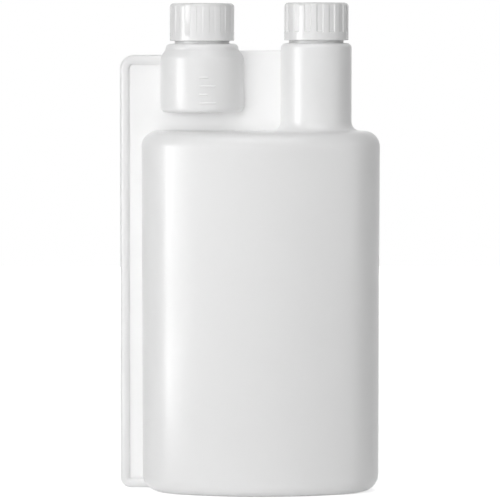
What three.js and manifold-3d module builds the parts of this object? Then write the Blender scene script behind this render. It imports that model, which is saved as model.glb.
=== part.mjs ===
// Twin-neck dosing bottle, one litre: a squeeze body, a dosing chamber fed by a side tube, and two screw caps.
// Millimetres, +Z up, the front faces -Y. The origin is on the standing plane, under the middle of the width.
import * as THREE from 'three';
import { mergeVertices } from 'three/addons/utils/BufferGeometryUtils.js';
import Module from 'manifold-3d';

const wasm = await Module();
wasm.setup();

// Body: an oval container with a rounded shoulder, a rounded foot and a shallow push-up underneath
const BODY_WIDTH = 112.6;
const BODY_DEPTH = 70;
const BODY_HEIGHT = 170.4;
const BODY_TAPER = 0.9;
const FACE_BOW = 7;
const SHOULDER_INSET = 7;
const SHOULDER_DROP = 8;
const FOOT_ROUND = 7.5;
const WALL = 1.2;
const PUSH_UP_HEIGHT = 2.4;
const STANDING_RIM = 5;
const PUSH_UP_SLOPE = 7;

// Tall neck column on the right of the shoulder
const COLUMN_DIAMETER = 33.3;
const COLUMN_HEIGHT = 41.4;
const COLUMN_OFFSET = 26.2;
const COLUMN_FILLET = 4.5;
const COLUMN_TOP_ROUND = 2.3;

// Dosing chamber on the left, hung clear of the shoulder
const NECK_SPACING = 53.9;
const CHAMBER_DIAMETER = 39.3;
const CHAMBER_CLEARANCE = 8.8;
const CHAMBER_SIDE_HEIGHT = 26.4;
const CHAMBER_CONE_HEIGHT = 2.8;
const CHAMBER_FLOOR_ROUND = 2.6;
const COLLAR_DIAMETER = 34.4;
const COLLAR_HEIGHT = 3.1;
const COLLAR_ROUND = 2.4;

// Raised level marks on the front of the chamber
const MARK_COUNT = 4;
const MARK_PITCH = 4;
const MARK_FIRST_HEIGHT = 4.5;
const MARK_WIDTH = 4;
const MARK_LONG_WIDTH = 7.6;
const MARK_THICKNESS = 0.9;
const MARK_PROUD = 0.3;
const MARK_START = -1;

// Transfer tube up the left side, and the flat web that ties it to the body and the chamber
const TUBE_WIDTH = 4.7;
const TUBE_BORE = 2.6;
const TUBE_STANDOFF = 7.8;
const TUBE_FOOT_HEIGHT = 3.4;
const TUBE_CHAMBER_DROP = 1.75;
const TUBE_TOP_BEND = 4.2;
const TUBE_FOOT_BEND = 2.6;
const TUBE_REACH_IN = 5;
const WEB_THICKNESS = 1.6;
const WEB_DROP = 3.5;

// Neck finish, the same on the column and on the chamber
const NECK_FOOT_DIAMETER = 25.8;
const NECK_FOOT_HEIGHT = 2.4;
const NECK_DIAMETER = 25.2;
const NECK_BORE = 22;
const NECK_HEIGHT = 16.7;
const NECK_EDGE = 0.5;

// Screw cap with shallow flutes over a plain band, and its sealing disc
const CAP_DIAMETER = 30.4;
const CAP_TOP_THICKNESS = 1.3;
const CAP_TOP_ROUND = 1.9;
const CAP_FOOT_GAP = 1.3;
const CAP_BORE = 28.2;
const CAP_BAND = 3.8;
const FLUTE_COUNT = 16;
const FLUTE_RUN_OUT = 0.3;
const NECK_CAP_FLUTE_DEPTH = 0.35;
const DOSING_CAP_FLUTE_DEPTH = 0.15;
const NECK_CAP_TURN = THREE.MathUtils.degToRad(-10.3);
const DOSING_CAP_TURN = THREE.MathUtils.degToRad(3.2);
const LINER_DIAMETER = 26.8;
const LINER_THICKNESS = 1;

// Finishes
const BOTTLE_COLOUR = '#ebebeb';
const BOTTLE_ROUGHNESS = 0.33;
const CAP_COLOUR = '#f0f0f0';
const CAP_ROUGHNESS = 0.24;
const LINER_COLOUR = '#f8f8f6';
const LINER_ROUGHNESS = 0.8;

// Fineness of the round surfaces
const ARC_STEPS = 2;
const OVAL_STEPS = 16;
const ROUND_SIDES = 40;
const BORE_SIDES = 32;
const TUBE_SIDES = 12;
const BEND_STEPS = 4;

// A joined form is sunk by this much, so that its edge cuts cleanly through the face it meets
const SINK = 0.04;

// Places that follow from the sizes
const OVERALL_WIDTH = BODY_WIDTH + TUBE_STANDOFF + TUBE_WIDTH / 2;
const BODY_X = OVERALL_WIDTH / 2 - BODY_WIDTH / 2;
const TUBE_X = TUBE_WIDTH / 2 - OVERALL_WIDTH / 2;
const COLUMN_X = BODY_X + COLUMN_OFFSET;
const CHAMBER_X = COLUMN_X - NECK_SPACING;
const COLUMN_TOP = BODY_HEIGHT + COLUMN_HEIGHT;
const CHAMBER_FLOOR = BODY_HEIGHT + CHAMBER_CLEARANCE;
const CONE_FOOT = CHAMBER_FLOOR + CHAMBER_SIDE_HEIGHT;
const COLLAR_FOOT = CONE_FOOT + CHAMBER_CONE_HEIGHT;
const CHAMBER_TOP = COLLAR_FOOT + COLLAR_HEIGHT;
const TUBE_TOP = CONE_FOOT - TUBE_CHAMBER_DROP;
const QUARTER = Math.PI / 2;

// A closed solid from a geometry whose shared corners are merged
function solid(geometry) {
  const bare = geometry.clone();
  bare.deleteAttribute('normal');
  bare.deleteAttribute('uv');
  const merged = mergeVertices(bare);
  const corners = merged.index.array;
  const kept = [];
  for (let i = 0; i < corners.length; i += 3) {
    const [a, b, c] = corners.slice(i, i + 3);
    if (a !== b && b !== c && c !== a) kept.push(a, b, c);
  }
  const vertProperties = new Float32Array(merged.attributes.position.array);
  const triVerts = new Uint32Array(kept);
  return new wasm.Manifold(new wasm.Mesh({ numProp: 3, vertProperties, triVerts }));
}

function geometryOf(body) {
  const { vertProperties, triVerts } = body.getMesh();
  const geometry = new THREE.BufferGeometry();
  geometry.setAttribute('position', new THREE.BufferAttribute(vertProperties, 3));
  geometry.setIndex(new THREE.BufferAttribute(triVerts, 1));
  geometry.computeVertexNormals();
  return geometry;
}

function centreOf(outline) {
  const sum = outline.reduce((total, point) => total.add(point), new THREE.Vector3());
  return sum.divideScalar(outline.length);
}

// A closed skin through a stack of outlines with the same number of points, each closed by a fan at the ends
function loft(outlines) {
  const count = outlines[0].length;
  const last = outlines.length - 1;
  const points = [...outlines.flat(), centreOf(outlines[0]), centreOf(outlines[last])];
  const firstCentre = outlines.length * count;
  const index = [];
  for (let level = 0; level < last; level += 1) {
    for (let i = 0; i < count; i += 1) {
      const a = level * count + i;
      const b = level * count + ((i + 1) % count);
      index.push(a, b, b + count, a, b + count, a + count);
    }
  }
  for (let i = 0; i < count; i += 1) {
    const next = (i + 1) % count;
    index.push(firstCentre, next, i);
    index.push(firstCentre + 1, last * count + i, last * count + next);
  }
  const geometry = new THREE.BufferGeometry().setFromPoints(points);
  geometry.setIndex(index);
  return solid(geometry);
}

// A solid of revolution about a vertical axis at x, from a profile of radius and height
function revolve(profile, x, sides) {
  const geometry = new THREE.LatheGeometry(profile.getPoints(ARC_STEPS), sides);
  geometry.rotateX(QUARTER);
  geometry.translate(x, 0, 0);
  return solid(geometry);
}

// The body's plan outline at one height, drawn in from the skin by an inset: two wide faces and two end rounds
function bodyOutline(height, inset) {
  const halfWidth = BODY_WIDTH / 2 - (BODY_TAPER / 2) * (1 - height / BODY_HEIGHT);
  const endRadius = BODY_DEPTH / 2 - FACE_BOW;
  const endCentre = halfWidth - endRadius;
  const faceCentre = (endCentre ** 2 - FACE_BOW ** 2) / (2 * FACE_BOW);
  const faceRadius = faceCentre + BODY_DEPTH / 2 - inset;
  const turn = Math.atan2(faceCentre, endCentre);
  const arcs = [
    [endCentre, 0, endRadius - inset, -turn, turn],
    [0, -faceCentre, faceRadius, turn, Math.PI - turn],
    [-endCentre, 0, endRadius - inset, Math.PI - turn, Math.PI + turn],
    [0, faceCentre, faceRadius, Math.PI + turn, 2 * Math.PI - turn],
  ];
  const points = arcs.flatMap(([x, y, radius, from, to]) => {
    const arc = new THREE.EllipseCurve(x, y, radius, radius, from, to);
    return arc.getPoints(OVAL_STEPS).slice(0, -1);
  });
  return points.map((point) => new THREE.Vector3(BODY_X + point.x, point.y, height));
}

// The container's skin, or with a wall its inside: foot round, straight side, shoulder round
function containerSolid(wall) {
  const steps = 2 * ARC_STEPS;
  const footRound = FOOT_ROUND - wall;
  const shoulderInset = SHOULDER_INSET - wall;
  const shoulderDrop = SHOULDER_DROP - wall;
  const outlines = [];
  for (let i = 0; i <= steps; i += 1) {
    const turn = QUARTER * (i / steps);
    const height = wall + footRound * (1 - Math.sin(turn));
    outlines.unshift(bodyOutline(height, wall + footRound * (1 - Math.cos(turn))));
  }
  for (let i = 0; i <= steps; i += 1) {
    const turn = QUARTER * (i / steps);
    const height = BODY_HEIGHT - wall - shoulderDrop * (1 - Math.sin(turn));
    outlines.push(bodyOutline(height, wall + shoulderInset * (1 - Math.cos(turn))));
  }
  return loft(outlines);
}

// The recess under the foot, or with a wall the dome that it makes inside
function pushUpSolid(wall) {
  const rim = FOOT_ROUND + STANDING_RIM - wall;
  return loft([
    bodyOutline(-WALL, rim),
    bodyOutline(wall, rim),
    bodyOutline(wall + PUSH_UP_HEIGHT, rim + PUSH_UP_SLOPE),
  ]);
}

// The column's skin from the shoulder to its top, or with a wall its inside, which opens into the body
function columnProfile(wall) {
  const radius = COLUMN_DIAMETER / 2 - wall;
  const fillet = COLUMN_FILLET + wall;
  const foot = BODY_HEIGHT - wall - SINK;
  const round = COLUMN_TOP_ROUND - wall / 2;
  const top = COLUMN_TOP - wall;
  const profile = new THREE.Path();
  profile.moveTo(0, foot - WALL / 2);
  profile.lineTo(radius + fillet, foot - WALL / 2);
  profile.absarc(radius + fillet, foot + fillet, fillet, -QUARTER, -2 * QUARTER, true);
  profile.absarc(radius - round, top - round, round, 0, QUARTER);
  profile.lineTo(0, top);
  return profile;
}

// The chamber's skin, or with a wall its inside: rounded floor, straight side, cone and collar
function chamberProfile(wall) {
  const radius = CHAMBER_DIAMETER / 2 - wall;
  const floor = CHAMBER_FLOOR + wall;
  const floorRound = CHAMBER_FLOOR_ROUND - wall / 2;
  const collar = COLLAR_DIAMETER / 2 - wall;
  const collarRound = COLLAR_ROUND - wall / 2;
  const top = CHAMBER_TOP - wall;
  const profile = new THREE.Path();
  profile.moveTo(0, floor);
  profile.lineTo(radius - floorRound, floor);
  profile.absarc(radius - floorRound, floor + floorRound, floorRound, -QUARTER, 0);
  profile.lineTo(radius, CONE_FOOT);
  profile.lineTo(collar, COLLAR_FOOT);
  profile.absarc(collar - collarRound, top - collarRound, collarRound, 0, QUARTER);
  profile.lineTo(0, top);
  return profile;
}

// The neck that a cap screws onto, standing on a shoulder at the given height
function neckProfile(shoulder) {
  const foot = NECK_FOOT_DIAMETER / 2;
  const radius = NECK_DIAMETER / 2;
  const top = shoulder + NECK_HEIGHT;
  const profile = new THREE.Path();
  profile.moveTo(0, shoulder - WALL / 2);
  profile.lineTo(foot, shoulder - WALL / 2);
  profile.lineTo(foot, shoulder + NECK_FOOT_HEIGHT);
  profile.lineTo(radius, shoulder + NECK_FOOT_HEIGHT + NECK_EDGE);
  profile.lineTo(radius, top - NECK_EDGE);
  profile.lineTo(radius - NECK_EDGE, top);
  profile.lineTo(0, top);
  return profile;
}

// The way through a neck, from the room below its shoulder to above its rim
function neckBoreProfile(shoulder) {
  const radius = NECK_BORE / 2;
  const profile = new THREE.Path();
  profile.moveTo(0, shoulder - 2 * WALL);
  profile.lineTo(radius, shoulder - 2 * WALL);
  profile.lineTo(radius, shoulder + NECK_HEIGHT + WALL);
  profile.lineTo(0, shoulder + NECK_HEIGHT + WALL);
  return profile;
}

// The tube's centre line in the parting plane: out of the body's foot, up the side and into the chamber
function tubeLine() {
  const bodySide = BODY_X - BODY_WIDTH / 2;
  const chamberSide = CHAMBER_X - CHAMBER_DIAMETER / 2;
  const footTurn = TUBE_FOOT_HEIGHT + TUBE_FOOT_BEND;
  const line = new THREE.Path();
  line.moveTo(bodySide + TUBE_REACH_IN, TUBE_FOOT_HEIGHT);
  line.lineTo(TUBE_X + TUBE_FOOT_BEND, TUBE_FOOT_HEIGHT);
  line.absarc(TUBE_X + TUBE_FOOT_BEND, footTurn, TUBE_FOOT_BEND, -QUARTER, -2 * QUARTER, true);
  line.absarc(TUBE_X + TUBE_TOP_BEND, TUBE_TOP - TUBE_TOP_BEND, TUBE_TOP_BEND, 2 * QUARTER, QUARTER, true);
  line.lineTo(chamberSide + TUBE_REACH_IN, TUBE_TOP);
  return line;
}

// A round bar along the tube's line
function tubeSolid(diameter) {
  const stations = tubeLine().getPoints(BEND_STEPS / 2);
  const outlines = stations.map((station, i) => {
    const before = stations[Math.max(i - 1, 0)];
    const after = stations[Math.min(i + 1, stations.length - 1)];
    const along = after.clone().sub(before).normalize();
    return Array.from({ length: TUBE_SIDES }, (_, side) => {
      const turn = 2 * Math.PI * (side / TUBE_SIDES);
      const out = (diameter / 2) * Math.cos(turn);
      const across = (diameter / 2) * Math.sin(turn);
      return new THREE.Vector3(station.x + along.y * out, across, station.y - along.x * out);
    });
  });
  return loft(outlines);
}

// A flat sheet in the parting plane, from an outline of width and height
function sheet(outline) {
  const settings = { depth: WEB_THICKNESS, bevelEnabled: false, curveSegments: BEND_STEPS };
  const geometry = new THREE.ExtrudeGeometry(outline, settings);
  geometry.rotateX(QUARTER);
  geometry.translate(0, WEB_THICKNESS / 2, 0);
  return solid(geometry);
}

// The web between tube, body and chamber, and the web between chamber and column
function webSolid() {
  const foot = TUBE_FOOT_HEIGHT;
  const side = new THREE.Shape();
  side.moveTo(BODY_X, foot);
  side.lineTo(BODY_X, BODY_HEIGHT - SHOULDER_DROP);
  side.lineTo(CHAMBER_X, BODY_HEIGHT - SHOULDER_DROP);
  side.lineTo(CHAMBER_X, TUBE_TOP);
  side.absarc(TUBE_X + TUBE_TOP_BEND, TUBE_TOP - TUBE_TOP_BEND, TUBE_TOP_BEND, QUARTER, 2 * QUARTER);
  side.absarc(TUBE_X + TUBE_FOOT_BEND, foot + TUBE_FOOT_BEND, TUBE_FOOT_BEND, 2 * QUARTER, 3 * QUARTER);
  const bridge = new THREE.Shape();
  const bridgeFoot = BODY_HEIGHT - SHOULDER_DROP;
  bridge.moveTo(CHAMBER_X, bridgeFoot);
  bridge.lineTo(COLUMN_X, bridgeFoot);
  bridge.lineTo(COLUMN_X, COLUMN_TOP - WEB_DROP);
  bridge.lineTo(CHAMBER_X, COLUMN_TOP - WEB_DROP);
  return sheet(side).add(sheet(bridge));
}

// One raised level mark: every second one is long
function markSolid(number) {
  const width = number % 2 === 0 ? MARK_LONG_WIDTH : MARK_WIDTH;
  const depth = WALL;
  const geometry = new THREE.BoxGeometry(width, depth, MARK_THICKNESS);
  const x = CHAMBER_X + MARK_START + width / 2;
  const y = depth / 2 - CHAMBER_DIAMETER / 2 - MARK_PROUD;
  geometry.translate(x, y, CHAMBER_FLOOR + MARK_FIRST_HEIGHT + MARK_PITCH * number);
  return solid(geometry);
}

// The bottle is blown in one piece: all its skins are joined, then all its rooms and ways are taken out
function bottleGeometry() {
  let skin = containerSolid(0)
    .subtract(pushUpSolid(0))
    .add(revolve(columnProfile(0), COLUMN_X, ROUND_SIDES))
    .add(revolve(chamberProfile(0), CHAMBER_X, ROUND_SIDES))
    .add(revolve(neckProfile(COLUMN_TOP), COLUMN_X, ROUND_SIDES))
    .add(revolve(neckProfile(CHAMBER_TOP), CHAMBER_X, ROUND_SIDES))
    .add(tubeSolid(TUBE_WIDTH))
    .add(webSolid());
  for (let number = 0; number < MARK_COUNT; number += 1) {
    skin = skin.add(markSolid(number));
  }
  const rooms = containerSolid(WALL)
    .subtract(pushUpSolid(WALL))
    .add(revolve(columnProfile(WALL), COLUMN_X, BORE_SIDES))
    .add(revolve(chamberProfile(WALL), CHAMBER_X, BORE_SIDES))
    .add(revolve(neckBoreProfile(COLUMN_TOP), COLUMN_X, BORE_SIDES))
    .add(revolve(neckBoreProfile(CHAMBER_TOP), CHAMBER_X, BORE_SIDES))
    .add(tubeSolid(TUBE_BORE));
  return geometryOf(skin.subtract(rooms));
}

// One outline of a cap: the flutes are cut to a depth, and nothing stands out past the limit
function capOutline(height, limit, depth, phase) {
  const radius = CAP_DIAMETER / 2;
  const pitch = (2 * Math.PI) / FLUTE_COUNT;
  const edge = FLUTE_RUN_OUT / radius;
  const ribEnd = pitch / 2 - edge;
  const flute = [
    [0, 0],
    [ribEnd / 2, 0],
    [ribEnd, 0],
    [ribEnd + edge, depth],
    [ribEnd + edge + ribEnd / 2, depth],
    [pitch - edge, depth],
  ];
  const points = [];
  for (let i = 0; i < FLUTE_COUNT; i += 1) {
    for (const [turn, cut] of flute) {
      const angle = phase + i * pitch + turn;
      const reach = Math.min(radius - cut, limit);
      points.push(new THREE.Vector3(reach * Math.cos(angle), reach * Math.sin(angle), height));
    }
  }
  return points;
}

// A cap in its own frame: its foot at zero, open below, with a flat ceiling for the disc
function capGeometry(fluteDepth, phase) {
  const height = NECK_HEIGHT + LINER_THICKNESS + CAP_TOP_THICKNESS - CAP_FOOT_GAP;
  const radius = CAP_DIAMETER / 2;
  const outlines = [
    capOutline(0, radius, 0, phase),
    capOutline(CAP_BAND, radius, 0, phase),
    capOutline(CAP_BAND + FLUTE_RUN_OUT, radius, fluteDepth, phase),
  ];
  const steps = 2 * ARC_STEPS;
  for (let i = 0; i <= steps; i += 1) {
    const turn = QUARTER * (i / steps);
    const limit = radius - CAP_TOP_ROUND * (1 - Math.cos(turn));
    const level = height - CAP_TOP_ROUND * (1 - Math.sin(turn));
    outlines.push(capOutline(level, limit, fluteDepth, phase));
  }
  const bore = new THREE.Path();
  bore.moveTo(0, -CAP_TOP_THICKNESS);
  bore.lineTo(CAP_BORE / 2, -CAP_TOP_THICKNESS);
  bore.lineTo(CAP_BORE / 2, height - CAP_TOP_THICKNESS);
  bore.lineTo(0, height - CAP_TOP_THICKNESS);
  return geometryOf(loft(outlines).subtract(revolve(bore, 0, BORE_SIDES)));
}

function linerGeometry() {
  const geometry = new THREE.CylinderGeometry(
    LINER_DIAMETER / 2,
    LINER_DIAMETER / 2,
    LINER_THICKNESS,
    BORE_SIDES,
  );
  geometry.rotateX(QUARTER);
  return geometry;
}

function piece(name, geometry, material, x, height) {
  const mesh = new THREE.Mesh(geometry, material);
  mesh.name = name;
  mesh.position.set(x, 0, height);
  return mesh;
}

function plastic(color, roughness) {
  return new THREE.MeshStandardMaterial({ color, roughness, metalness: 0 });
}

// A cap and its disc, closed on a neck that stands on a shoulder
function closure(name, shoulder, x, fluteDepth, phase) {
  const group = new THREE.Group();
  const discCentre = shoulder + NECK_HEIGHT + LINER_THICKNESS / 2;
  const cap = capGeometry(fluteDepth, phase);
  group.add(piece(name, cap, plastic(CAP_COLOUR, CAP_ROUGHNESS), x, shoulder + CAP_FOOT_GAP));
  group.add(piece(`${name}_liner`, linerGeometry(), plastic(LINER_COLOUR, LINER_ROUGHNESS), x, discCentre));
  return group;
}

const part = new THREE.Group();
part.add(piece('bottle', bottleGeometry(), plastic(BOTTLE_COLOUR, BOTTLE_ROUGHNESS), 0, 0));
part.add(closure('neck_cap', COLUMN_TOP, COLUMN_X, NECK_CAP_FLUTE_DEPTH, NECK_CAP_TURN));
part.add(closure('dosing_cap', CHAMBER_TOP, CHAMBER_X, DOSING_CAP_FLUTE_DEPTH, DOSING_CAP_TURN));

export default part;
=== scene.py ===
import math

import bpy
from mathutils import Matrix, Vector


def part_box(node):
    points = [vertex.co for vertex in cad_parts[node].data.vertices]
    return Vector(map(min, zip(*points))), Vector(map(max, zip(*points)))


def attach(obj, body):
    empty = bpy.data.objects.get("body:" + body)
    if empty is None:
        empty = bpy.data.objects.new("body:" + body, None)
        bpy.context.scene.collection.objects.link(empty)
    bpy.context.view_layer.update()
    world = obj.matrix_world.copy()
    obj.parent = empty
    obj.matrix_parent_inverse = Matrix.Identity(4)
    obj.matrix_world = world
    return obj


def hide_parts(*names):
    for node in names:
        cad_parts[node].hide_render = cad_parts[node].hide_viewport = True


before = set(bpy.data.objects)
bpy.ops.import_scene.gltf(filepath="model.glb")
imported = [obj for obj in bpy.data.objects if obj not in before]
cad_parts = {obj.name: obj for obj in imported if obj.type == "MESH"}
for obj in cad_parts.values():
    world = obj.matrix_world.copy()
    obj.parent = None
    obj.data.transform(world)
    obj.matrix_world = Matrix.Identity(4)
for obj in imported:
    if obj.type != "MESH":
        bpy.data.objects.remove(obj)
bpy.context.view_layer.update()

# Sizes are in metres, in the frame of the bottle: +Z up, the front faces -Y
MM = 0.001
QUARTER = math.pi / 2

# Sizes that follow from the frame
BOTTLE_LOW, BOTTLE_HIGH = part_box("bottle")
NECK_CAP_LOW, NECK_CAP_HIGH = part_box("neck_cap")
DOSING_CAP_LOW, DOSING_CAP_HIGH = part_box("dosing_cap")
NECK_DISC_LOW, NECK_DISC_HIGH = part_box("neck_cap_liner")
DOSING_DISC_LOW, DOSING_DISC_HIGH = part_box("dosing_cap_liner")
COLUMN_X = (NECK_CAP_LOW.x + NECK_CAP_HIGH.x) / 2
CHAMBER_X = (DOSING_CAP_LOW.x + DOSING_CAP_HIGH.x) / 2
CAP_HEIGHT = NECK_CAP_HIGH.z - NECK_CAP_LOW.z
CAP_RADIUS = (NECK_CAP_HIGH.x - NECK_CAP_LOW.x) / 2
DISC_RADIUS = (NECK_DISC_HIGH.x - NECK_DISC_LOW.x) / 2
DISC_THICKNESS = NECK_DISC_HIGH.z - NECK_DISC_LOW.z
BODY_DEPTH = BOTTLE_HIGH.y - BOTTLE_LOW.y

# The container
WALL = 1.2 * MM
BODY_WIDTH = 112.6 * MM
BODY_HEIGHT = 170.4 * MM
BODY_TAPER = 0.9 * MM
BODY_X = BOTTLE_HIGH.x - BODY_WIDTH / 2
FACE_BOW = 7 * MM
SHOULDER_ROUND = 7.5 * MM
FOOT_ROUND = 7.5 * MM
STANDING_RIM = 5 * MM
PUSH_UP_SLOPE = 7 * MM
PUSH_UP_HEIGHT = 2.4 * MM
PUSH_UP_STEEP_SHARE = 0.55
PINCH_LENGTH = 46 * MM
PINCH_WIDTH = 1.1 * MM
PINCH_PROUD = 0.5 * MM

# The column, the chamber and the necks
CAP_FOOT_GAP = 1.3 * MM
COLUMN_TOP = NECK_CAP_LOW.z - CAP_FOOT_GAP
CHAMBER_TOP = DOSING_CAP_LOW.z - CAP_FOOT_GAP
NECK_HEIGHT = NECK_DISC_LOW.z - COLUMN_TOP
COLUMN_RADIUS = 33.3 / 2 * MM
COLUMN_FILLET = 4.5 * MM
COLUMN_TOP_ROUND = 2.3 * MM
CHAMBER_RADIUS = 39.3 / 2 * MM
CHAMBER_FLOOR = BODY_HEIGHT + 8.8 * MM
CHAMBER_FLOOR_ROUND = 2.6 * MM
COLLAR_RADIUS = 34.4 / 2 * MM
COLLAR_FOOT = CHAMBER_TOP - 3.1 * MM
COLLAR_ROUND = 2.4 * MM
CONE_FOOT = COLLAR_FOOT - 2.8 * MM
CONE_SOFTNESS = 1.2 * MM
NECK_FOOT_RADIUS = 25.8 / 2 * MM
NECK_FOOT_HEIGHT = 2.4 * MM
NECK_RADIUS = 25.2 / 2 * MM
NECK_BORE = 22 / 2 * MM
NECK_EDGE = 0.5 * MM

# The screw thread, right-handed
THREAD_LEAD = 25.4 / 6 * MM
THREAD_TURNS = 1.6
THREAD_DEPTH = 0.95 * MM
THREAD_BASE = 1.9 * MM
THREAD_CREST = 0.8 * MM
THREAD_DROP = 3.4 * MM
THREAD_FADE_SHARE = 1 / 12
THREAD_ROOT_SINK = 0.3 * MM
THREAD_END_SINK = 0.1 * MM

# The transfer tube and the web
TUBE_RADIUS = 4.7 / 2 * MM
TUBE_BORE = 2.6 / 2 * MM
TUBE_X = BOTTLE_LOW.x + TUBE_RADIUS
TUBE_FOOT_HEIGHT = 3.4 * MM
TUBE_TOP = CONE_FOOT - 1.75 * MM
TUBE_TOP_BEND = 4.2 * MM
TUBE_FOOT_BEND = 2.6 * MM
TUBE_REACH_IN = 5 * MM
WEB_THICKNESS = 1.6 * MM
WEB_TOP = COLUMN_TOP - 3.5 * MM

# The level marks
MARK_COUNT = 4
MARK_PITCH = 4 * MM
MARK_FIRST = CHAMBER_FLOOR + 4.5 * MM
MARK_WIDTH = 4 * MM
MARK_LONG_WIDTH = 7.6 * MM
MARK_START = -1 * MM
MARK_THICKNESS = 0.9 * MM
MARK_PROUD = 0.5 * MM
MARK_BAR_DEPTH = 3 * MM
MARK_STEPS = 4

# The caps and discs
CAP_TOP_THICKNESS = 1.3 * MM
CAP_TOP_ROUND = 1.9 * MM
CAP_BORE = 28.2 / 2 * MM
CAP_BAND = 3.8 * MM
CAP_LIP = 0.25 * MM
FLUTE_COUNT = 16
FLUTE_STEPS = 6
FLUTE_RUN_OUT = 0.5 * MM
NECK_CAP_FLUTE = 0.5 * MM
NECK_CAP_TURN = math.radians(-10.3)
DOSING_CAP_FLUTE = 0.24 * MM
DOSING_CAP_TURN = math.radians(3.2)
DISC_EDGE = 0.15 * MM
DISC_PRESS = 0.12 * MM

# Fineness
OVAL_POINTS = 288
ROUND_SIDES = 144
ARC_STEPS = 8
SINK = 0.04 * MM
TUBE_RESOLUTION = 6
SAME_POINT = 0.001 * MM
SMOOTH_ANGLE = math.radians(32)

# The photograph's view: the middle of its 500 pixels looks at a point of the parting plane
PHOTO_PIXELS = 500
PHOTO_SCALE = 0.4732 * MM
PHOTO_MIDDLE = Vector((0.0, 0.0, 114 * MM))
CAMERA_DISTANCE = 1.75
CAMERA_HEIGHT = 215 * MM
SENSOR = 36.0

# The studio: the lights aim at the middle of the bottle, and the floor keeps its shadow
AMBIENT = 0.06
FLOOR_WIDTH = 6
FLOOR_DEPTH = 3.4
FLOOR_GLOW = 0.62
FLOOR_GLOW_NEAR = 0.5
FLOOR_GLOW_FAR = 2
FLOOR_TONE = 0.9
FLOOR_ROUGHNESS = 0.9
LIGHT_AIM = Vector((0, 0, 120 * MM))

# The plastics' surface
PLASTIC_IOR = 1.54
BUMP_DEPTH = 0.1 * MM
GRAIN_DETAIL = 3
BROAD_SCALE = 38
BROAD_DETAIL = 2


def only(obj):
    """Leaves object mode with one object selected and active."""
    bpy.ops.object.select_all(action="DESELECT")
    obj.select_set(True)
    bpy.context.view_layer.objects.active = obj
    return obj


def made(name):
    """Names the object that an operator has just added."""
    obj = bpy.context.view_layer.objects.active
    obj.name = name
    obj.data.name = name
    return obj


def placed(obj):
    """Puts the object's place, turn and scale into its mesh."""
    only(obj)
    bpy.ops.object.transform_apply(location=True, rotation=True, scale=True)
    return obj


def faced_out(obj):
    """Joins doubled points and turns the faces outwards."""
    only(obj)
    bpy.ops.object.mode_set(mode="EDIT")
    bpy.ops.mesh.select_all(action="SELECT")
    bpy.ops.mesh.remove_doubles(threshold=SAME_POINT)
    bpy.ops.mesh.normals_make_consistent(inside=False)
    bpy.ops.object.mode_set(mode="OBJECT")
    return obj


def select_where(obj, kind, test):
    """In edit mode, selects the vertices, edges or faces whose middle passes the test."""
    bpy.ops.mesh.select_mode(type=kind)
    bpy.ops.mesh.select_all(action="DESELECT")
    bpy.ops.object.mode_set(mode="OBJECT")
    points = obj.data.vertices
    items = {"VERT": obj.data.vertices, "EDGE": obj.data.edges, "FACE": obj.data.polygons}[kind]
    for item in items:
        corners = [points[i].co for i in item.vertices] if kind != "VERT" else [item.co]
        item.select = all(test(corner) for corner in corners)
    bpy.ops.object.mode_set(mode="EDIT")


def combined(obj, tool, operation):
    """Joins, cuts or keeps what is common with another solid, which is used up."""
    only(obj)
    modifier = obj.modifiers.new("combine", "BOOLEAN")
    modifier.operation = operation
    modifier.solver = "EXACT"
    modifier.object = tool
    bpy.ops.object.modifier_apply(modifier=modifier.name)
    bpy.data.objects.remove(tool, do_unlink=True)
    return obj


def arc(x, z, radius, start, end, steps=ARC_STEPS):
    """Points of an arc in a profile of radius and height."""
    turns = [start + (end - start) * i / steps for i in range(steps + 1)]
    return [(x + radius * math.cos(turn), z + radius * math.sin(turn)) for turn in turns]


def turned(name, profile, x, sides=ROUND_SIDES):
    """A round solid about a vertical axis: a disc drawn up ring by ring along a profile."""
    radius, height = profile[0]
    bpy.ops.object.select_all(action="DESELECT")
    bpy.ops.mesh.primitive_circle_add(
        vertices=sides, radius=radius, fill_type="NGON", location=(x, 0, height)
    )
    obj = placed(made(name))
    bpy.ops.object.mode_set(mode="EDIT")
    bpy.ops.mesh.select_all(action="SELECT")
    for new_radius, new_height in profile[1:]:
        rise = (0, 0, new_height - height)
        grow = new_radius / radius
        bpy.ops.mesh.extrude_region_move(TRANSFORM_OT_translate={"value": rise})
        bpy.ops.transform.resize(value=(grow, grow, 1), center_override=(x, 0, new_height))
        radius, height = new_radius, new_height
    bpy.ops.object.mode_set(mode="OBJECT")
    return faced_out(obj)


def oval_point(share, wall):
    """A point of the container's plan at a share of the way round: two wide faces and two end rounds."""
    end_radius = BODY_DEPTH / 2 - FACE_BOW
    end_centre = BODY_WIDTH / 2 - end_radius
    face_centre = (end_centre**2 - FACE_BOW**2) / (2 * FACE_BOW)
    face_radius = face_centre + BODY_DEPTH / 2
    turn = math.atan2(face_centre, end_centre)
    arcs = (
        (end_centre, 0, end_radius, -turn, turn),
        (0, -face_centre, face_radius, turn, math.pi - turn),
        (-end_centre, 0, end_radius, math.pi - turn, math.pi + turn),
        (0, face_centre, face_radius, math.pi + turn, 2 * math.pi - turn),
    )
    number, part = divmod(share * len(arcs), 1)
    x, y, radius, start, end = arcs[int(number) % len(arcs)]
    angle = start + (end - start) * part
    return BODY_X + x + (radius - wall) * math.cos(angle), y + (radius - wall) * math.sin(angle)


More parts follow.
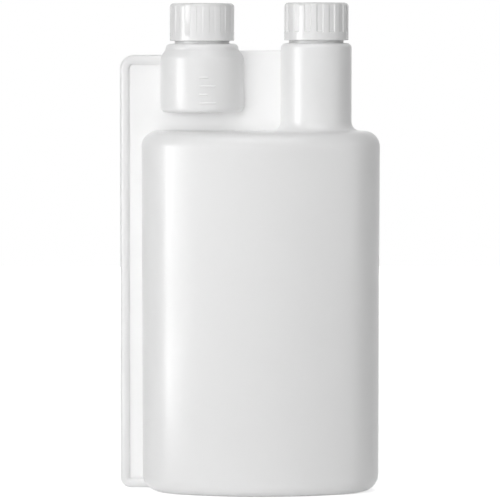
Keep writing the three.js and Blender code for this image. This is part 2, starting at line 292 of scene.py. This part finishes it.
def container(name, wall):
    """The squeeze body's skin, or with a wall its inside."""
    foot, top = wall, BODY_HEIGHT - wall
    bpy.ops.object.select_all(action="DESELECT")
    bpy.ops.mesh.primitive_circle_add(
        vertices=OVAL_POINTS, radius=BODY_DEPTH, fill_type="NGON", location=(BODY_X, 0, foot)
    )
    obj = placed(made(name))
    for number, vertex in enumerate(obj.data.vertices):
        vertex.co.x, vertex.co.y = oval_point(number / OVAL_POINTS, wall)
    bpy.ops.object.mode_set(mode="EDIT")
    bpy.ops.mesh.select_all(action="SELECT")
    bpy.ops.mesh.extrude_region_move(TRANSFORM_OT_translate={"value": (0, 0, top - foot)})
    bpy.ops.object.mode_set(mode="OBJECT")
    faced_out(obj)
    narrow = 1 - BODY_TAPER / BODY_WIDTH
    bpy.ops.object.mode_set(mode="EDIT")
    select_where(obj, "VERT", lambda co: co.z < foot + SINK)
    bpy.ops.transform.resize(value=(narrow, 1, 1), center_override=(BODY_X, 0, foot))
    select_where(obj, "EDGE", lambda co: co.z > top - SINK)
    bpy.ops.mesh.bevel(offset=SHOULDER_ROUND - wall, segments=2 * ARC_STEPS, affect="EDGES")
    select_where(obj, "EDGE", lambda co: co.z < foot + SINK)
    bpy.ops.mesh.bevel(offset=FOOT_ROUND - wall, segments=ARC_STEPS, affect="EDGES")
    select_where(obj, "FACE", lambda co: co.z < foot + SINK)
    bpy.ops.mesh.inset(thickness=STANDING_RIM, depth=0)
    bpy.ops.mesh.inset(thickness=PUSH_UP_SLOPE / 2, depth=-PUSH_UP_HEIGHT * PUSH_UP_STEEP_SHARE)
    bpy.ops.mesh.inset(thickness=PUSH_UP_SLOPE / 2, depth=-PUSH_UP_HEIGHT * (1 - PUSH_UP_STEEP_SHARE))
    bpy.ops.object.mode_set(mode="OBJECT")
    return obj


def column_profile(wall):
    radius = COLUMN_RADIUS - wall
    fillet = COLUMN_FILLET + wall
    foot = BODY_HEIGHT - wall - SINK
    edge = COLUMN_TOP_ROUND - wall / 2
    top = COLUMN_TOP - wall
    flare = arc(radius + fillet, foot + fillet, fillet, -QUARTER, -2 * QUARTER)
    crown = arc(radius - edge, top - edge, edge, 0, QUARTER)
    return [(radius + fillet, foot - WALL / 2), *flare, *crown]


def chamber_profile(wall):
    radius = CHAMBER_RADIUS - wall
    collar = COLLAR_RADIUS - wall
    floor = CHAMBER_FLOOR + wall
    floor_edge = CHAMBER_FLOOR_ROUND - wall / 2
    collar_edge = COLLAR_ROUND - wall / 2
    top = CHAMBER_TOP - wall
    base = arc(radius - floor_edge, floor + floor_edge, floor_edge, -QUARTER, 0)
    soft = CONE_SOFTNESS
    cone = [(radius, CONE_FOOT - soft), (radius - soft * 0.25, CONE_FOOT + soft * 0.1)]
    waist = [(collar + soft * 0.3, COLLAR_FOOT - soft * 0.25), (collar, COLLAR_FOOT + soft * 0.4)]
    crown = arc(collar - collar_edge, top - collar_edge, collar_edge, 0, QUARTER)
    return [*base, *cone, *waist, *crown]


def neck_profile(shoulder):
    top = shoulder + NECK_HEIGHT
    foot_top = shoulder + NECK_FOOT_HEIGHT
    rim = arc(NECK_RADIUS - NECK_EDGE, top - NECK_EDGE, NECK_EDGE, 0, QUARTER, 3)
    return [
        (NECK_FOOT_RADIUS, shoulder - WALL / 2),
        (NECK_FOOT_RADIUS, foot_top),
        (NECK_RADIUS, foot_top + NECK_EDGE),
        *rim,
    ]


def ribbon(name, points):
    """A closed bar through sections of four points each."""
    faces = [(0, 1, 2, 3), tuple(range(len(points) - 1, len(points) - 5, -1))]
    for start in range(0, len(points) - 4, 4):
        for corner in range(4):
            near, far = start + corner, start + (corner + 1) % 4
            faces.append((near, near + 4, far + 4, far))
    mesh = bpy.data.meshes.new(name)
    mesh.from_pydata(points, [], faces)
    obj = bpy.data.objects.new(name, mesh)
    bpy.context.collection.objects.link(obj)
    return faced_out(obj)


def thread(name, x, top, radius, outward):
    """One helical ridge: outward on a neck, inward in a cap. Its ends fade into the wall."""
    steps = int(THREAD_TURNS * ROUND_SIDES / 2)
    fade = int(steps * THREAD_FADE_SHARE)
    root = radius - outward * THREAD_ROOT_SINK
    points = []
    for step in range(steps + 1):
        turn = -2 * math.pi * THREAD_TURNS * step / steps
        height = top - THREAD_LEAD * THREAD_TURNS * step / steps
        rise = min(1, step / fade, (steps - step) / fade)
        crest = radius + outward * (THREAD_DEPTH * rise - THREAD_END_SINK * (1 - rise))
        for reach, level in (
            (root, -THREAD_BASE / 2),
            (crest, -THREAD_CREST / 2),
            (crest, THREAD_CREST / 2),
            (root, THREAD_BASE / 2),
        ):
            points.append((x + reach * math.cos(turn), reach * math.sin(turn), height + level))
    return ribbon(name, points)


def tube_line():
    """The centre line of the transfer tube in the parting plane."""
    foot, top = TUBE_FOOT_BEND, TUBE_TOP_BEND
    return [
        (BODY_X - BODY_WIDTH / 2 + TUBE_REACH_IN, TUBE_FOOT_HEIGHT),
        *arc(TUBE_X + foot, TUBE_FOOT_HEIGHT + foot, foot, -QUARTER, -2 * QUARTER),
        *arc(TUBE_X + top, TUBE_TOP - top, top, 2 * QUARTER, QUARTER),
        (CHAMBER_X - CHAMBER_RADIUS + TUBE_REACH_IN, TUBE_TOP),
    ]


def tube(name, radius):
    curve = bpy.data.curves.new(name, "CURVE")
    curve.dimensions = "3D"
    curve.bevel_depth = radius
    curve.bevel_resolution = TUBE_RESOLUTION
    curve.use_fill_caps = True
    line = tube_line()
    spline = curve.splines.new("POLY")
    spline.points.add(len(line) - 1)
    for point, (x, z) in zip(spline.points, line):
        point.co = (x, 0, z, 1)
    obj = bpy.data.objects.new(name, curve)
    bpy.context.collection.objects.link(obj)
    only(obj)
    bpy.ops.object.convert(target="MESH")
    return faced_out(obj)


def flat_sheet(name, outline):
    """A sheet in the parting plane from an outline of width and height."""
    mesh = bpy.data.meshes.new(name)
    mesh.from_pydata([(x, -WEB_THICKNESS / 2, z) for x, z in outline], [], [tuple(range(len(outline)))])
    obj = bpy.data.objects.new(name, mesh)
    bpy.context.collection.objects.link(obj)
    only(obj)
    bpy.ops.object.mode_set(mode="EDIT")
    bpy.ops.mesh.select_all(action="SELECT")
    bpy.ops.mesh.extrude_region_move(TRANSFORM_OT_translate={"value": (0, WEB_THICKNESS, 0)})
    bpy.ops.object.mode_set(mode="OBJECT")
    return faced_out(obj)


def side_web():
    foot = TUBE_FOOT_HEIGHT
    inside = BODY_HEIGHT - SHOULDER_ROUND
    return flat_sheet("side_web", [
        (BODY_X, foot),
        (BODY_X, inside),
        (CHAMBER_X, inside),
        (CHAMBER_X, TUBE_TOP),
        *arc(TUBE_X + TUBE_TOP_BEND, TUBE_TOP - TUBE_TOP_BEND, TUBE_TOP_BEND, QUARTER, 2 * QUARTER),
        *arc(TUBE_X + TUBE_FOOT_BEND, foot + TUBE_FOOT_BEND, TUBE_FOOT_BEND, 2 * QUARTER, 3 * QUARTER),
    ])


def bridge_web():
    foot = BODY_HEIGHT - SHOULDER_ROUND
    return flat_sheet(
        "bridge_web",
        [(CHAMBER_X, foot), (COLUMN_X, foot), (COLUMN_X, WEB_TOP), (CHAMBER_X, WEB_TOP)],
    )


def level_mark(number):
    """One raised mark that follows the chamber's round front."""
    width = MARK_LONG_WIDTH if number % 2 == 0 else MARK_WIDTH
    height = MARK_FIRST + MARK_PITCH * number
    bpy.ops.object.select_all(action="DESELECT")
    middle = CHAMBER_X + MARK_START + width / 2
    bpy.ops.mesh.primitive_cube_add(size=1, location=(middle, -CHAMBER_RADIUS, height))
    bar = made("level_mark")
    bar.scale = (width, MARK_BAR_DEPTH, 2 * MARK_THICKNESS)
    placed(bar)
    section = []
    for step in range(-MARK_STEPS, MARK_STEPS + 1):
        angle = QUARTER * step / MARK_STEPS
        reach = CHAMBER_RADIUS - SINK + (MARK_PROUD + SINK) * math.cos(angle)
        section.append((reach, height + MARK_THICKNESS / 2 * math.sin(angle)))
    limit = turned("mark_limit", section, CHAMBER_X)
    return combined(bar, limit, "INTERSECT")


def pinch_line():
    """The raised line that the mould leaves under the foot."""
    bpy.ops.object.select_all(action="DESELECT")
    height = PUSH_UP_HEIGHT - PINCH_PROUD / 2
    bpy.ops.mesh.primitive_cube_add(size=1, location=(BODY_X, 0, height))
    bar = made("pinch_line")
    bar.scale = (PINCH_LENGTH, PINCH_WIDTH, PINCH_PROUD * 2)
    return placed(bar)


def bottle():
    """The blown bottle: its skins are joined, then its rooms and ways are taken out."""
    skin = container("blown_bottle", 0)
    for x, profile in (
        (COLUMN_X, column_profile(0)),
        (CHAMBER_X, chamber_profile(0)),
        (COLUMN_X, neck_profile(COLUMN_TOP)),
        (CHAMBER_X, neck_profile(CHAMBER_TOP)),
    ):
        combined(skin, turned("turned_skin", profile, x), "UNION")
    for x, shoulder in ((COLUMN_X, COLUMN_TOP), (CHAMBER_X, CHAMBER_TOP)):
        top = shoulder + NECK_HEIGHT - THREAD_DROP
        combined(skin, thread("neck_thread", x, top, NECK_RADIUS, 1), "UNION")
    combined(skin, tube("tube_skin", TUBE_RADIUS), "UNION")
    combined(skin, side_web(), "UNION")
    combined(skin, bridge_web(), "UNION")
    for number in range(MARK_COUNT):
        combined(skin, level_mark(number), "UNION")
    combined(skin, pinch_line(), "UNION")
    rooms = container("rooms", WALL)
    for x, profile in (
        (COLUMN_X, column_profile(WALL)),
        (CHAMBER_X, chamber_profile(WALL)),
        (COLUMN_X, [(NECK_BORE, COLUMN_TOP - 2 * WALL), (NECK_BORE, COLUMN_TOP + NECK_HEIGHT + WALL)]),
        (CHAMBER_X, [(NECK_BORE, CHAMBER_TOP - 2 * WALL), (NECK_BORE, CHAMBER_TOP + NECK_HEIGHT + WALL)]),
    ):
        combined(rooms, turned("turned_room", profile, x), "UNION")
    combined(rooms, tube("tube_way", TUBE_BORE), "UNION")
    combined(skin, rooms, "DIFFERENCE")
    return smoothed(skin)


def smoothed(obj):
    only(obj)
    bpy.ops.object.shade_smooth_by_angle(angle=SMOOTH_ANGLE)
    return obj


def flute_point(number):
    """A numbered point of the fluted outline: how far round it lies, and its share of the flute's depth."""
    pitch = 2 * math.pi / FLUTE_COUNT
    slope = FLUTE_RUN_OUT / CAP_RADIUS
    level = pitch / 2 - slope
    flute, number = divmod(number, 4 * FLUTE_STEPS)
    stretch, step = divmod(number, FLUTE_STEPS)
    part = step / FLUTE_STEPS
    fall = math.sin(part * QUARTER) ** 2
    starts = (0, level, pitch / 2, pitch / 2 + level)
    length = slope if stretch % 2 else level
    return flute * pitch + starts[stretch] + part * length, (0, fall, 1, 1 - fall)[stretch]


def cap(name, x, low, flute, phase):
    """A screw cap: shallow flutes over a plain band, a bore with a thread and a flat ceiling."""
    top = low + CAP_HEIGHT
    crown = arc(CAP_RADIUS - CAP_TOP_ROUND, top - CAP_TOP_ROUND, CAP_TOP_ROUND, 0, QUARTER)
    sides = 4 * FLUTE_STEPS * FLUTE_COUNT
    profile = [
        (CAP_RADIUS - CAP_LIP, low),
        (CAP_RADIUS, low + CAP_LIP),
        (CAP_RADIUS, low + CAP_BAND),
        (CAP_RADIUS - SINK, low + CAP_BAND + FLUTE_RUN_OUT),
        *crown,
    ]
    obj = turned(name, profile, x, sides)
    for vertex in obj.data.vertices:
        across, along = vertex.co.x - x, vertex.co.y
        reach = math.hypot(across, along)
        number = round(math.atan2(along, across) / (2 * math.pi) * sides) % sides
        turn, share = flute_point(number)
        if vertex.co.z > low + CAP_BAND + SINK:
            reach = min(reach, CAP_RADIUS - flute * share)
        vertex.co.x = x + reach * math.cos(turn + phase)
        vertex.co.y = reach * math.sin(turn + phase)
    ceiling = top - CAP_TOP_THICKNESS
    bore = turned("cap_bore", [
        (CAP_BORE + CAP_LIP, low - CAP_LIP),
        (CAP_BORE, low + CAP_LIP),
        (CAP_BORE, ceiling),
    ], x)
    combined(obj, bore, "DIFFERENCE")
    grip = thread("cap_thread", x, ceiling - DISC_THICKNESS - THREAD_DROP + THREAD_LEAD / 2, CAP_BORE, -1)
    combined(obj, grip, "UNION")
    return smoothed(obj)


def disc(name, x, low):
    """A sealing disc with the ring that the neck's rim has pressed into it."""
    edge = DISC_EDGE
    press = DISC_PRESS
    high = low + DISC_THICKNESS
    profile = [
        (NECK_BORE - edge, low + press),
        (NECK_BORE, low + press),
        (NECK_BORE + edge, low + press),
        (NECK_RADIUS, low + press),
        (NECK_RADIUS + edge, low),
        (DISC_RADIUS - edge, low),
        (DISC_RADIUS, low + edge),
        (DISC_RADIUS, high - edge),
        (DISC_RADIUS - edge, high),
    ]
    return smoothed(turned(name, profile, x))


def surface_group():
    """Fine moulded texture: gives a height for the bump and a roughness that wanders a little."""
    group = bpy.data.node_groups.new("moulded_surface", "ShaderNodeTree")
    sockets = group.interface
    sockets.new_socket("Grain Scale", in_out="INPUT", socket_type="NodeSocketFloat")
    sockets.new_socket("Roughness", in_out="INPUT", socket_type="NodeSocketFloat")
    sockets.new_socket("Wander", in_out="INPUT", socket_type="NodeSocketFloat")
    sockets.new_socket("Colour", in_out="INPUT", socket_type="NodeSocketColor")
    sockets.new_socket("Shade", in_out="INPUT", socket_type="NodeSocketColor")
    sockets.new_socket("Colour", in_out="OUTPUT", socket_type="NodeSocketColor")
    sockets.new_socket("Roughness", in_out="OUTPUT", socket_type="NodeSocketFloat")
    sockets.new_socket("Height", in_out="OUTPUT", socket_type="NodeSocketFloat")
    nodes, links = group.nodes, group.links
    entry = nodes.new("NodeGroupInput")
    leave = nodes.new("NodeGroupOutput")
    where = nodes.new("ShaderNodeTexCoord")
    fine = nodes.new("ShaderNodeTexNoise")
    fine.inputs["Detail"].default_value = GRAIN_DETAIL
    links.new(where.outputs["Object"], fine.inputs["Vector"])
    links.new(entry.outputs["Grain Scale"], fine.inputs["Scale"])
    broad = nodes.new("ShaderNodeTexNoise")
    broad.inputs["Scale"].default_value = BROAD_SCALE
    broad.inputs["Detail"].default_value = BROAD_DETAIL
    links.new(where.outputs["Object"], broad.inputs["Vector"])
    shift = nodes.new("ShaderNodeMath")
    shift.operation = "SUBTRACT"
    shift.inputs[1].default_value = 0.5
    links.new(broad.outputs["Fac"], shift.inputs[0])
    rough = nodes.new("ShaderNodeMath")
    rough.operation = "MULTIPLY_ADD"
    links.new(shift.outputs[0], rough.inputs[0])
    links.new(entry.outputs["Wander"], rough.inputs[1])
    links.new(entry.outputs["Roughness"], rough.inputs[2])
    tint = nodes.new("ShaderNodeMix")
    tint.data_type = "RGBA"
    links.new(broad.outputs["Fac"], tint.inputs["Factor"])
    links.new(entry.outputs["Colour"], tint.inputs["A"])
    links.new(entry.outputs["Shade"], tint.inputs["B"])
    links.new(tint.outputs["Result"], leave.inputs["Colour"])
    links.new(rough.outputs[0], leave.inputs["Roughness"])
    links.new(fine.outputs["Fac"], leave.inputs["Height"])
    return group


SURFACE = surface_group()


def plastic(name, colour, shade, roughness, wander, grain, bump, scatter, scatter_scale):
    """A moulded plastic with its own tone, gloss, grain and depth of scatter."""
    material = bpy.data.materials.new(name)
    material.use_nodes = True
    nodes, links = material.node_tree.nodes, material.node_tree.links
    shader = nodes["Principled BSDF"]
    shader.inputs["IOR"].default_value = PLASTIC_IOR
    shader.inputs["Subsurface Weight"].default_value = scatter
    shader.inputs["Subsurface Radius"].default_value = (1, 1, 1)
    shader.inputs["Subsurface Scale"].default_value = scatter_scale
    surface = nodes.new("ShaderNodeGroup")
    surface.node_tree = SURFACE
    surface.inputs["Grain Scale"].default_value = grain
    surface.inputs["Roughness"].default_value = roughness
    surface.inputs["Wander"].default_value = wander
    surface.inputs["Colour"].default_value = (*colour, 1)
    surface.inputs["Shade"].default_value = (*shade, 1)
    relief = nodes.new("ShaderNodeBump")
    relief.inputs["Strength"].default_value = bump
    relief.inputs["Distance"].default_value = BUMP_DEPTH
    links.new(surface.outputs["Colour"], shader.inputs["Base Color"])
    links.new(surface.outputs["Roughness"], shader.inputs["Roughness"])
    links.new(surface.outputs["Height"], relief.inputs["Height"])
    links.new(relief.outputs["Normal"], shader.inputs["Normal"])
    return material


def mark_faces(obj, material):
    """Gives the raised level marks their own crisp, denser finish."""
    obj.data.materials.append(material)
    lowest = MARK_FIRST - MARK_PITCH
    highest = MARK_FIRST + MARK_PITCH * MARK_COUNT
    for face in obj.data.polygons:
        reach = math.hypot(face.center.x - CHAMBER_X, face.center.y)
        on_front = face.center.y < 0 and lowest < face.center.z < highest
        near = abs(face.center.x - CHAMBER_X) < MARK_LONG_WIDTH
        if on_front and near and reach > CHAMBER_RADIUS + SINK / 2:
            face.material_index = 1


def fitted(obj, body, node, material):
    """Puts a finished piece in the place of its node."""
    obj.data.materials.clear()
    obj.data.materials.append(material)
    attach(obj, body)
    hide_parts(node)


def stage():
    """A pale floor that keeps the shadow and shows white beside it."""
    bpy.ops.object.select_all(action="DESELECT")
    bpy.ops.mesh.primitive_plane_add(size=1, location=(0, 0, BOTTLE_LOW.z))
    floor = made("floor")
    floor.scale = (FLOOR_WIDTH, FLOOR_DEPTH, 1)
    placed(floor)
    material = bpy.data.materials.new("pale_floor")
    material.use_nodes = True
    nodes, links = material.node_tree.nodes, material.node_tree.links
    shader = nodes["Principled BSDF"]
    shader.inputs["Base Color"].default_value = (FLOOR_TONE, FLOOR_TONE, FLOOR_TONE, 1)
    shader.inputs["Roughness"].default_value = FLOOR_ROUGHNESS
    shader.inputs["Specular IOR Level"].default_value = 0.0
    glow = nodes.new("ShaderNodeEmission")
    share = nodes.new("ShaderNodeMath")
    share.operation = "MULTIPLY"
    where = nodes.new("ShaderNodeNewGeometry")
    reach = nodes.new("ShaderNodeVectorMath")
    reach.operation = "LENGTH"
    rise = nodes.new("ShaderNodeMapRange")
    rise.inputs["From Min"].default_value = FLOOR_GLOW_NEAR
    rise.inputs["From Max"].default_value = FLOOR_GLOW_FAR
    rise.inputs["To Min"].default_value = FLOOR_GLOW
    rise.inputs["To Max"].default_value = 1
    links.new(where.outputs["Position"], reach.inputs[0])
    links.new(reach.outputs["Value"], rise.inputs["Value"])
    links.new(rise.outputs["Result"], share.inputs[1])
    total = nodes.new("ShaderNodeAddShader")
    links.new(seen_white(links, nodes), share.inputs[0])
    links.new(share.outputs[0], glow.inputs["Strength"])
    links.new(shader.outputs["BSDF"], total.inputs[0])
    links.new(glow.outputs["Emission"], total.inputs[1])
    links.new(total.outputs["Shader"], nodes["Material Output"].inputs["Surface"])
    floor.data.materials.append(material)


def seen_white(links, nodes):
    """1 for rays from the camera, off gloss or through clear parts, which show the white surround."""
    path = nodes.new("ShaderNodeLightPath")
    total = path.outputs["Is Camera Ray"]
    for kind in ("Is Glossy Ray", "Is Transmission Ray"):
        larger = nodes.new("ShaderNodeMath")
        larger.operation = "MAXIMUM"
        links.new(total, larger.inputs[0])
        links.new(path.outputs[kind], larger.inputs[1])
        total = larger.outputs[0]
    return total


def surround():
    world = bpy.data.worlds.new("studio")
    bpy.context.scene.world = world
    world.use_nodes = True
    nodes, links = world.node_tree.nodes, world.node_tree.links
    ambient = nodes["Background"]
    ambient.inputs["Color"].default_value = (1, 1, 1, 1)
    ambient.inputs["Strength"].default_value = AMBIENT
    white = nodes.new("ShaderNodeBackground")
    white.inputs["Color"].default_value = (1, 1, 1, 1)
    white.inputs["Strength"].default_value = 1
    mix = nodes.new("ShaderNodeMixShader")
    links.new(seen_white(links, nodes), mix.inputs["Fac"])
    links.new(ambient.outputs["Background"], mix.inputs[1])
    links.new(white.outputs["Background"], mix.inputs[2])
    links.new(mix.outputs["Shader"], nodes["World Output"].inputs["Surface"])


def softbox(name, azimuth, distance, height, width, tall, radiance, glossy=True, diffuse=True):
    """An area light that faces the bottle. Azimuth is from the front, positive to the right."""
    turn = math.radians(azimuth)
    place = Vector((distance * math.sin(turn), -distance * math.cos(turn), height))
    light = bpy.data.lights.new(name, "AREA")
    light.shape = "RECTANGLE"
    light.size = width
    light.size_y = tall
    light.energy = radiance * math.pi * width * tall
    obj = bpy.data.objects.new(name, light)
    obj.location = place
    aim = LIGHT_AIM - place
    obj.rotation_euler = aim.to_track_quat("-Z", "Y").to_euler()
    obj.visible_camera = False
    obj.visible_glossy = glossy
    obj.visible_diffuse = diffuse
    bpy.context.collection.objects.link(obj)


def camera():
    place = Vector((PHOTO_MIDDLE.x, -CAMERA_DISTANCE, CAMERA_HEIGHT))
    aim = PHOTO_MIDDLE - place
    data = bpy.data.cameras.new("camera")
    data.sensor_width = SENSOR
    data.lens = SENSOR * aim.length / (PHOTO_PIXELS * PHOTO_SCALE)
    obj = bpy.data.objects.new("camera", data)
    obj.location = place
    obj.rotation_euler = aim.to_track_quat("-Z", "Y").to_euler()
    bpy.context.collection.objects.link(obj)
    bpy.context.scene.camera = obj


camera()
surround()
stage()
KEY = {"distance": 1.0, "height": 0.2, "width": 0.38, "tall": 0.45}
softbox("key", azimuth=-40, radiance=5.6, glossy=False, **KEY)
softbox("key_gloss", azimuth=-63, radiance=7.8, diffuse=False, **KEY)
FOOT = {"distance": 0.32, "height": 0.018, "width": 0.12, "tall": 0.03}
softbox("foot_gloss", azimuth=-63, radiance=12, diffuse=False, **FOOT)
SIDE = {"distance": 1.2, "height": 0.25, "width": 0.85, "tall": 0.7}
softbox("side_fill", azimuth=58, radiance=0.65, **SIDE)
TOP = {"distance": 0.55, "height": 1.55, "width": 1.2, "tall": 1.0}
softbox("top", azimuth=0, radiance=2.1, **TOP)
FRONT = {"distance": 2.4, "height": 0.5, "width": 0.9, "tall": 1.6}
softbox("front_fill", azimuth=-15, radiance=4.0, glossy=False, **FRONT)
BACK = {"distance": 2.4, "height": 0.9, "width": 1.2, "tall": 2.0}
softbox("back_fill", azimuth=180, radiance=4.7, glossy=False, **BACK)

natural = plastic(
    "natural_plastic",
    colour=(0.9, 0.9, 0.9),
    shade=(0.92, 0.92, 0.92),
    roughness=0.31,
    wander=0.04,
    grain=900,
    bump=0.04,
    scatter=0.55,
    scatter_scale=2.5 * MM,
)
marked = plastic(
    "mark_plastic",
    colour=(0.9, 0.9, 0.9),
    shade=(0.92, 0.92, 0.92),
    roughness=0.31,
    wander=0.04,
    grain=900,
    bump=0.02,
    scatter=0.0,
    scatter_scale=1 * MM,
)
white = plastic(
    "cap_plastic",
    colour=(0.8, 0.8, 0.8),
    shade=(0.82, 0.82, 0.82),
    roughness=0.235,
    wander=0.04,
    grain=1400,
    bump=0.03,
    scatter=0.1,
    scatter_scale=0.6 * MM,
)
foam = plastic(
    "liner_foam",
    colour=(0.88, 0.88, 0.87),
    shade=(0.82, 0.82, 0.81),
    roughness=0.8,
    wander=0.1,
    grain=2600,
    bump=0.4,
    scatter=0.2,
    scatter_scale=1 * MM,
)

blown = bottle()
fitted(blown, "bottle", "bottle", natural)
mark_faces(blown, marked)
neck_cap = cap("screw_cap", COLUMN_X, NECK_CAP_LOW.z, NECK_CAP_FLUTE, NECK_CAP_TURN)
fitted(neck_cap, "neck_cap", "neck_cap", white)
dosing_cap = cap("dose_cap", CHAMBER_X, DOSING_CAP_LOW.z, DOSING_CAP_FLUTE, DOSING_CAP_TURN)
fitted(dosing_cap, "dosing_cap", "dosing_cap", white)
neck_disc = disc("seal_disc", COLUMN_X, NECK_DISC_LOW.z)
fitted(neck_disc, "neck_liner", "neck_cap_liner", foam)
dosing_disc = disc("dose_disc", CHAMBER_X, DOSING_DISC_LOW.z)
fitted(dosing_disc, "dosing_liner", "dosing_cap_liner", foam)

bpy.context.scene.view_settings.view_transform = "Standard"

bpy.context.view_layer.update()
